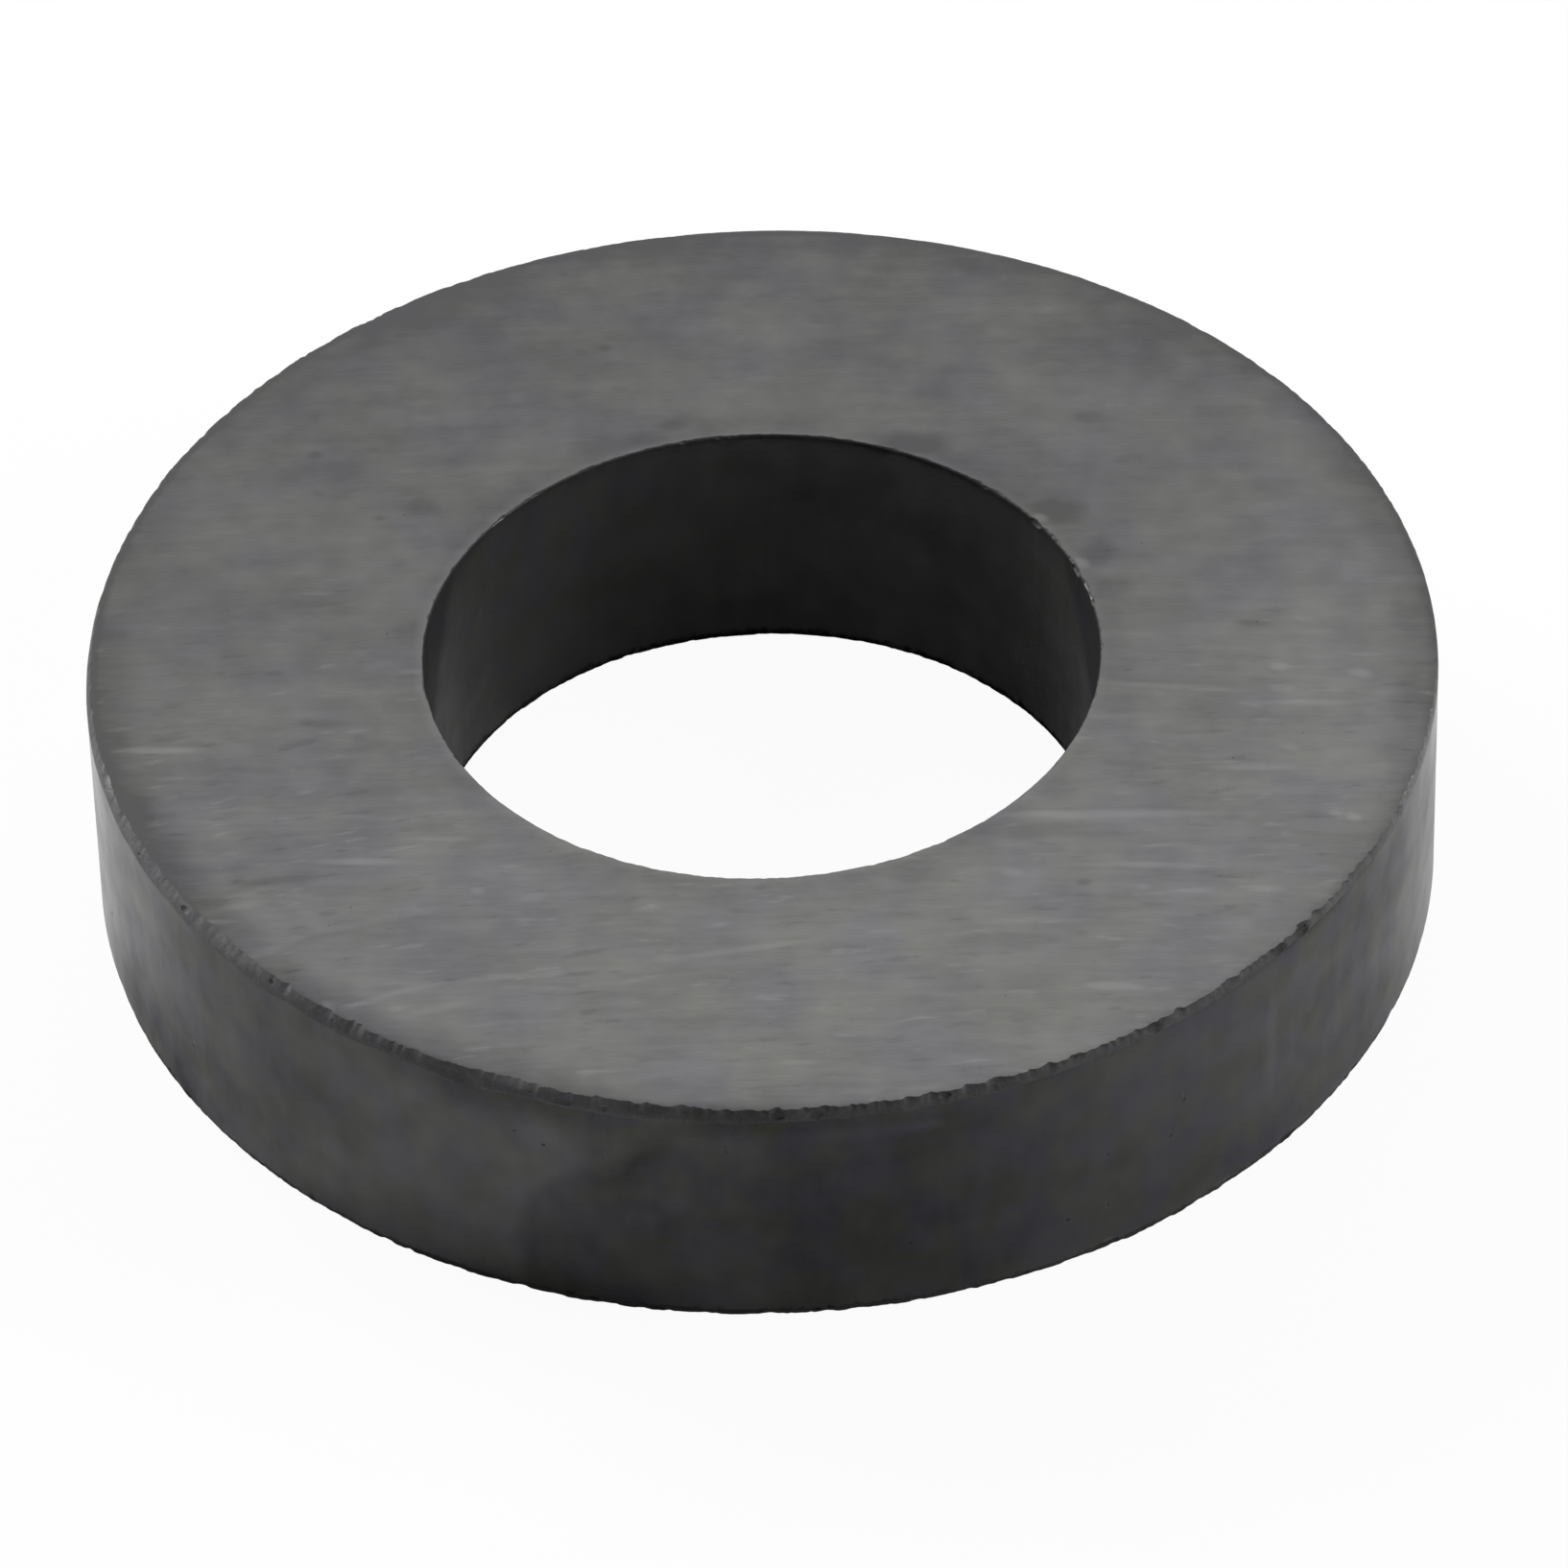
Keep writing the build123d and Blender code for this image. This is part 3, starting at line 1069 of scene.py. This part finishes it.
# %% Make the ground face
FRONT_FADE = (12.0, -18.0, 0.35, 1.0)
LEFT_FADE = (25.0, -45.0, 0.4, 1.0)
BROAD_FADE = (0.35, 1.0, 0.6, 1.0)
LIGHT_DASH, DARK_DASH = (0.60, 0.72), (0.40, 0.28)
TO_FRONT_LEFT = -0.707
SHADE_FRONT_LEFT, SHADE_RIGHT = (28.0, 42.0, 0.13, 0.54), (36.0, 47.0, 0.13, 0.32)
# Tone along the face's edges: darker at the outer rim, and a painted highlight at the bore.
OUTER_DARK_BORE_HIGHLIGHT = (30.0, 28.0, -0.5, 0.25)
FACE_TONE = 0.455
FACE_DARK = (0.066, 0.066, 0.067, 1)
FACE_LIGHT = (0.196, 0.196, 0.196, 1)
PORE_COLOUR = (0.035, 0.035, 0.036, 1)


def ground_face():
    """Matt grey ferrite with grinding streaks, dashes, soft patches, stains and pores."""
    finish = Finish("ground_pole_face")
    tree = finish.tree
    broad = finish.group(grinding_marks, Wheel_X=-30.0, Wheel_Y=-1500.0, Streak_width=1.6, Streak_length=14.0)
    fine = finish.group(grinding_marks, Wheel_X=-20.0, Wheel_Y=-1200.0, Streak_width=0.60, Streak_length=3.6,
                        Wheel=5.0)
    dashes = finish.group(grinding_marks, Wheel_X=30.0, Wheel_Y=-430.0, Streak_width=1.05, Streak_length=4.5,
                          Wheel=9.0)
    patches = finish.group(mottle, Patch_width=12.0, Patch_height=12.0)
    clouds = finish.group(mottle, Patch_width=2.6, Patch_height=2.6)
    place = split(tree, finish.place)
    front = remap(tree, place["Y"], *FRONT_FADE)
    left = remap(tree, place["X"], *LEFT_FADE)
    fine = maths(tree, "MULTIPLY", maths(tree, "SUBTRACT", fine, 0.5), front)
    broad = maths(tree, "MULTIPLY", maths(tree, "SUBTRACT", broad, 0.5), remap(tree, front, *BROAD_FADE))
    light_dashes = maths(tree, "MULTIPLY", remap(tree, dashes, *LIGHT_DASH, soft=True), front)
    dark_dashes = maths(tree, "MULTIPLY", remap(tree, dashes, *DARK_DASH, soft=True), front)
    light_marks = finish.marks(streak_shape, LIGHT_STREAKS)
    dark_marks = finish.marks(stain_shape, STAINS, finish.marks(streak_shape, DARK_STREAKS))
    # Painted shade: the face darkens over a few millimetres towards its outer edge, most at the front left
    # and at the right.
    painted_edge_shade = finish.group(edge_wear_and_painted_light, Reach=4.6, Raggedness=2.0, Grain=4.0)
    front_left = add_up(tree, 0.0, (place["X"], TO_FRONT_LEFT, 0.0), (place["Y"], TO_FRONT_LEFT, 0.0))
    shaded = maths(tree, "MAXIMUM", remap(tree, front_left, *SHADE_FRONT_LEFT),
                   remap(tree, place["X"], *SHADE_RIGHT))
    # Within about a millimetre of its edges the face turns darker along the outer rim and lighter along the
    # bore; the lighter line at the bore is a painted highlight.
    near_edge = maths(tree, "MULTIPLY", finish.group(edge_wear_and_painted_light, Reach=1.1, Raggedness=0.5, Grain=0.7), left)
    outer_dark_bore_highlight = remap(tree, from_axis(finish), *OUTER_DARK_BORE_HIGHLIGHT)
    # Painted light: the last two terms make the face lighter towards the front and slightly towards the
    # right, the way the light falls across it.
    tone = add_up(tree, FACE_TONE, (broad, 0.45, 0.0), (fine, 0.32, 0.0), (patches, 0.5, 0.5),
                  (clouds, 0.42, 0.5), (light_dashes, 0.24, 0.0), (dark_dashes, -0.20, 0.0),
                  (light_marks, 0.55, 0.0), (dark_marks, -0.5, 0.0),
                  (maths(tree, "MULTIPLY", painted_edge_shade, shaded), -1.0, 0.0),
                  (maths(tree, "MULTIPLY", near_edge, outer_dark_bore_highlight), 1.0, 0.0),
                  (place["X"], 0.0012, 0.0), (place["Y"], -0.0062, 0.0))
    colour = blend(tree, tone, FACE_DARK, FACE_LIGHT)
    colour = blend(tree, 1.0, colour, finish.group(tint, Patch_size=6.0, Strength=0.8), "MULTIPLY")
    pores = finish.group(specks, Spacing=2.6, Speck_size=0.14)
    colour = blend(tree, maths(tree, "MULTIPLY", pores, 0.5), colour, PORE_COLOUR)
    finish.set(Base_Color=colour, Roughness=remap(tree, tone, 0.2, 0.9, 0.60, 0.44), IOR=1.5,
               Specular_IOR_Level=0.15)
    height = add_up(tree, 0.5, (fine, 0.6, 0.0), (broad, 0.5, 0.0), (light_dashes, 0.3, 0.0),
                    (dark_dashes, -0.3, 0.0))
    finish.bump(height, 0.02)
    return finish.material


# %% [markdown]
# ## The fired skin
#
# The walls were never ground. They keep the skin of the kiln: nearly black, smooth enough for a soft
# shine that grows towards the limb, with faint upright drag marks from the press die. Towards the edges
# the skin is rubbed dull. A mark on the wall is noted by its angle in degrees, its height, half width and
# half height in millimetres, and its strength. A dull patch of less than nothing is a glossier one.

# %% Note the marks on the wall
RUBS = [
    (-44, 11.2, 0.75, 8.5, 0.3), (-82.5, 17.4, 7.4, 1.1, 0.26), (-77.5, 17.3, 2, 0.8, 0.25),
    (-95.5, 16.8, 3.4, 1.2, 0.25), (-94, 16.3, 0.5, 0.16, 0.4), (-61.7, 9.4, 0.35, 0.3, 0.6),
    (-65.4, 4.5, 0.35, 0.3, 0.6),
]
DULL_PATCHES = [
    (-111, 19.8, 17, 4.6, 1.05), (-92, 19.8, 16, 2.8, 0.35), (-40, 19.4, 10, 1.2, 0.3),
    (-141, 10, 15, 26, 0.4), (-31, 10, 14, 26, 0.3), (-155, 0, 14, 12, 1), (-95.5, 3.5, 8, 7, -0.5),
    (-103.5, 16, 5, 5, 0.6),
]
# Painted reflection: patches on the lower front wall where the shine is dimmed, as if the wall mirrored the
# ring's shadow on the floor.
SHADOW_REFLECTIONS_ON_WALL = [(-91, 3, 29, 19, 1), (-80, 15, 26, 16, 0.6)]


def wall_shape(degrees, height, half_width, half_height, strength):
    """A mark on the outer wall at this angle and height."""
    angle = math.radians(degrees)
    middle = turned(OUTER_RADIUS / MM, height, angle)
    half_size = (half_width, MARK_DEPTH + half_width / 4, half_height)
    return tuple(middle), angle + math.pi / 2, half_size, strength


# %% [markdown]
# The shine is a coat over a dull black base, because the weight of a coat can be painted: where the skin is
# dull, less of it lies there. Less of it also lies over the lower front wall, as a painted reflection of the
# ring's shadow on the floor, and along the bottom edge, as painted shade. The patches of blue and olive are
# in the base.

# %% Make the fired skin
HUE_TURN = (0.4, 0.6)
INTO_BORE = (30.0, 27.0)
CONTACT_SHADE_HEIGHTS = (10.0, 2.0, 0.3, 1.0)
SHADOW_REFLECTION_EDGE = (0.20, 0.38)
SHADOW_REFLECTION_FADE = (4.0, 26.0, 1.0, 0.15)
SKIN_SHINE = 0.92
SKIN_ROUGHNESS = 0.24
SKIN_COOL = (0.0110, 0.0095, 0.0210, 1)
SKIN_WARM = (0.0128, 0.0140, 0.0060, 1)
DULL_SKIN = (0.020, 0.020, 0.019, 1)
RIM_SKIN = (0.030, 0.030, 0.028, 1)
BORE_SKIN = (0.038, 0.038, 0.038, 1)
CONTACT_SHADE_SKIN = (0.010, 0.010, 0.009, 1)
RUBBED_SKIN = (0.085, 0.085, 0.120, 1)


def fired_skin():
    """Dark satin ferrite with soft patches, faint press marks and dull edges."""
    finish = Finish("fired_skin")
    tree = finish.tree
    hues = finish.group(mottle, Patch_width=3.2, Patch_height=3.2)
    patches = finish.group(mottle, Patch_width=7.0, Patch_height=5.0)
    clouds = finish.group(mottle, Patch_width=2.4, Patch_height=3.0)
    upright = finish.group(mottle, Patch_width=0.7, Patch_height=14.0)
    grit = finish.group(mottle, Patch_width=0.35, Patch_height=0.35)
    near_edge = finish.group(edge_wear_and_painted_light, Reach=1.2, Raggedness=1.6, Grain=1.4)
    dull = maths(tree, "MULTIPLY_ADD", near_edge, 0.35, finish.marks(wall_shape, DULL_PATCHES))
    rounded = finish.group(edge_wear_and_painted_light, Reach=0.8, Raggedness=0.4, Grain=0.8)
    inside = remap(tree, from_axis(finish), *INTO_BORE)
    place = split(tree, finish.place)
    # Painted shade: along the bottom edge the skin turns darker and loses its shine, standing in for the
    # shadow where the ring meets the floor.
    near_floor_shade = remap(tree, place["Z"], *CONTACT_SHADE_HEIGHTS)
    contact_shade = maths(tree, "MULTIPLY", finish.group(edge_wear_and_painted_light, Reach=1.0, Raggedness=1.5, Grain=0.6), near_floor_shade)
    # Painted reflection: the shine is dimmed over the lower front wall, with a ragged edge, fading towards
    # the right.
    shadow_reflection = add_up(tree, 0.0, (finish.marks(wall_shape, SHADOW_REFLECTIONS_ON_WALL), 1.0, 0.0), (patches, 0.5, 0.5))
    fading = remap(tree, place["X"], *SHADOW_REFLECTION_FADE)
    shadow_reflection = maths(tree, "MULTIPLY", remap(tree, shadow_reflection, *SHADOW_REFLECTION_EDGE, soft=True), fading)
    rubbed = finish.marks(wall_shape, RUBS)
    colour = blend(tree, remap(tree, hues, *HUE_TURN, soft=True), SKIN_COOL, SKIN_WARM)
    colour = blend(tree, maths(tree, "MULTIPLY", near_edge, 0.8), colour, DULL_SKIN)
    colour = blend(tree, rounded, colour, RIM_SKIN)
    colour = blend(tree, contact_shade, colour, CONTACT_SHADE_SKIN)
    colour = blend(tree, maths(tree, "MULTIPLY", inside, 0.6), colour, BORE_SKIN)
    colour = blend(tree, maths(tree, "MULTIPLY", rubbed, 0.6, clamp=True), colour, RUBBED_SKIN)
    shine = add_up(tree, SKIN_SHINE, (patches, 0.5, 0.5), (clouds, 0.40, 0.5), (upright, 0.10, 0.5),
                   (dull, -0.42, 0.0), (shadow_reflection, -0.33, 0.0), (contact_shade, -0.8, 0.0), (rounded, -0.06, 0.0),
                   (inside, -0.36, 0.0))
    roughness = add_up(tree, SKIN_ROUGHNESS, (near_edge, 0.30, 0.0), (clouds, 0.10, 0.5))
    finish.set(Base_Color=colour, Roughness=roughness, IOR=1.3, Specular_IOR_Level=0.0, Coat_IOR=1.75,
               Coat_Roughness=0.15, Coat_Weight=held(tree, shine))
    finish.bump(add_up(tree, 0.5, (grit, 0.15, 0.5), (upright, 0.12, 0.5), (clouds, 0.6, 0.5)), 0.03)
    return finish.material


# %% [markdown]
# ## The broken edge
#
# Where the skin is worn or chipped away the raw grain shows: grey, rough and without shine. A stretch is
# paler at a fresh break, as along the large flake on the front left, and paler towards both ends of the near
# wall as a painted sheen, standing in for the shine of the wall beside it. One of less than nothing is
# painted shade, mostly in the hollow of a deep chip. Towards the floor the grain is darker, which is painted
# shade too.
# Towards both ends of the near wall some skin is left on the rounding, and a thin coat gives it back its
# sheen.

# %% Make the broken edge
BREAK_DARK = (0.032, 0.032, 0.032, 1)
BREAK_LIGHT = (0.123, 0.123, 0.127, 1)
BREAK_TONE = 0.32
BREAK_CONTACT_SHADE_HEIGHTS = (10.0, 2.0)
BREAK_DEPTHS = (THICKNESS / MM - 0.05, THICKNESS / MM - 0.35)
BREAK_ROUGHNESS = (0.3, 0.7, 0.75, 0.62)
# Paler stretches: a fresh break at the large front-left flake, and painted sheen towards the left and right
# of the near wall; below nothing, painted shade, mostly in chip hollows.
FRESH_BREAK_SHEEN_AND_SHADE = [
    (-110, 20, 26, 8, 1), (-138, 20, 20, 8, 0.6), (-93, 19.6, 5, 1.5, -0.6), (-99, 19.6, 4, 1.5, -0.4),
    (-150, 19.6, 20, 1.2, 0.9), (-30, 19.4, 12, 1.4, 0.5), (-57, 19.8, 1, 0.8, -0.9),
    (-43, 19.8, 1.1, 0.8, -1.3), (-40, 19.8, 0.9, 0.8, -1.3), (-23, 19.8, 1, 0.8, -0.9),
]
SKINNED_STRETCHES = [(-167, 20, 11, 8, 0.25), (-15, 20, 13, 8, 0.6)]


def broken_edge():
    """Rough grain of a worn or chipped edge."""
    finish = Finish("broken_edge")
    tree = finish.tree
    grit = finish.group(mottle, Patch_width=0.25, Patch_height=0.25)
    clouds = finish.group(mottle, Patch_width=1.5, Patch_height=1.5)
    height = split(tree, finish.place)["Z"]
    # Painted shade: the broken grain darkens towards the floor.
    near_floor_shade = remap(tree, height, *BREAK_CONTACT_SHADE_HEIGHTS)
    depth = remap(tree, height, *BREAK_DEPTHS)
    fresh_break_sheen_and_shade = finish.marks(wall_shape, FRESH_BREAK_SHEEN_AND_SHADE)
    skinned = finish.marks(wall_shape, SKINNED_STRETCHES)
    tone = add_up(tree, BREAK_TONE, (grit, 0.5, 0.5), (clouds, 0.8, 0.5), (depth, 0.08, 0.0),
                  (near_floor_shade, -0.9, 0.0), (fresh_break_sheen_and_shade, 0.42, 0.0))
    colour = blend(tree, held(tree, tone), BREAK_DARK, BREAK_LIGHT)
    colour = blend(tree, 1.0, colour, finish.group(tint, Patch_size=2.0, Strength=0.6), "MULTIPLY")
    finish.set(Base_Color=colour, Roughness=remap(tree, grit, *BREAK_ROUGHNESS), IOR=1.5,
               Specular_IOR_Level=0.22, Coat_IOR=1.75, Coat_Roughness=0.40, Coat_Weight=held(tree, skinned))
    finish.bump(grit, 0.03)
    return finish.material


# %% Finish the ring and hang it on the frame
for index, material in enumerate((ground_face(), fired_skin(), broken_edge())):
    body.data.materials[index] = material
body.name = "ring_magnet"
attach(body, "root")
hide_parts("ferrite_ring")
print("ring finished with:", ", ".join(material.name for material in body.data.materials))

# %% [markdown]
# ## Floor and light
#
# The ring lies on a white floor under soft studio light. The floor shows white to the camera through the
# Light Path node, so the background is clean without more light on the ring, and a share of its plain
# diffuse colour stays in, which keeps the soft shadow. The main light hangs behind and above the ring: it
# shines across the upper face towards the camera and leaves the near wall in shade.

# %% Lay the floor
FLOOR_HALF = 1.5
FLOOR_WHITE = (0.85, 0.85, 0.85, 1)
CAMERA_SHARE = 0.95
FLOOR_REFLECTED = 0.1
ROOM_REFLECTED = 0.4


def background_share(tree, seen_share, reflected_share):
    """How much of the plain white background a ray sees: camera rays most, reflected rays some."""
    path = tree.nodes.new("ShaderNodeLightPath")
    seen = maths(tree, "MULTIPLY", path.outputs["Is Camera Ray"], seen_share)
    mirrored = maths(tree, "MULTIPLY", path.outputs["Is Glossy Ray"], reflected_share)
    through = maths(tree, "MULTIPLY", path.outputs["Is Transmission Ray"], seen_share)
    return maths(tree, "ADD", maths(tree, "ADD", seen, mirrored), through, clamp=True)


def lay_floor():
    """A wide white floor under the ring."""
    corners = [(-1, -1), (1, -1), (1, 1), (-1, 1)]
    floor = add_mesh("floor", [(x * FLOOR_HALF, y * FLOOR_HALF, 0) for x, y in corners], [(0, 1, 2, 3)], [0])
    material = bpy.data.materials.new("white_floor")
    material.use_nodes = True
    tree = material.node_tree
    tree.nodes.clear()
    plain = tree.nodes.new("ShaderNodeBsdfDiffuse")
    plain.inputs["Color"].default_value = FLOOR_WHITE
    white = tree.nodes.new("ShaderNodeEmission")
    mix = tree.nodes.new("ShaderNodeMixShader")
    output = tree.nodes.new("ShaderNodeOutputMaterial")
    link(tree, background_share(tree, CAMERA_SHARE, FLOOR_REFLECTED), mix.inputs[0])
    link(tree, plain.outputs[0], mix.inputs[1])
    link(tree, white.outputs[0], mix.inputs[2])
    link(tree, mix.outputs[0], output.inputs[0])
    floor.data.materials.append(material)
    return floor


floor = lay_floor()

# %% Hang the lamps
LAMPS = {
    "key_left_behind": ((135, 25), (0.69, 0.69), 21.4),
    "right_side": ((0, 25), (0.69, 0.69), 11.3),
    "behind": ((72, 36), (0.87, 0.54), 5.4),
    "high_behind": ((90, 70), (0.69, 0.69), 1.74),
}
LAMP_DISTANCE = 1.3


def hang_lamp(name, turn, rise, size, watts):
    """A soft lamp that faces the ring from this turn from +X towards +Y and this rise above the floor."""
    turn, rise = math.radians(turn), math.radians(rise)
    light = bpy.data.lights.new(name, "AREA")
    light.shape = "RECTANGLE"
    light.size, light.size_y = size
    light.energy = watts
    lamp = bpy.data.objects.new(name, light)
    way = Vector((math.cos(rise) * math.cos(turn), math.cos(rise) * math.sin(turn), math.sin(rise)))
    lamp.location = way * LAMP_DISTANCE
    aim = Vector((0, 0, THICKNESS / 2)) - lamp.location
    lamp.rotation_euler = aim.to_track_quat("-Z", "Y").to_euler()
    bpy.context.scene.collection.objects.link(lamp)
    return lamp


for name, ((turn, rise), size, watts) in LAMPS.items():
    hang_lamp(name, turn, rise, size, watts)
    print(f"lamp {name}: {watts} W, turned {turn} degrees, {rise} degrees up")

# %% Light the surroundings
SURROUND_LIGHT = 0.05


def light_surroundings():
    """Dim even light from all round, and plain white where the camera looks past the floor."""
    world = bpy.data.worlds.new("studio")
    bpy.context.scene.world = world
    world.use_nodes = True
    tree = world.node_tree
    share = background_share(tree, 1.0, ROOM_REFLECTED)
    background = tree.nodes["Background"]
    background.inputs["Color"].default_value = (1, 1, 1, 1)
    link(tree, remap(tree, share, 0.0, 1.0, SURROUND_LIGHT, 1.0), background.inputs["Strength"])


light_surroundings()
bpy.context.scene.view_settings.view_transform = "Standard"
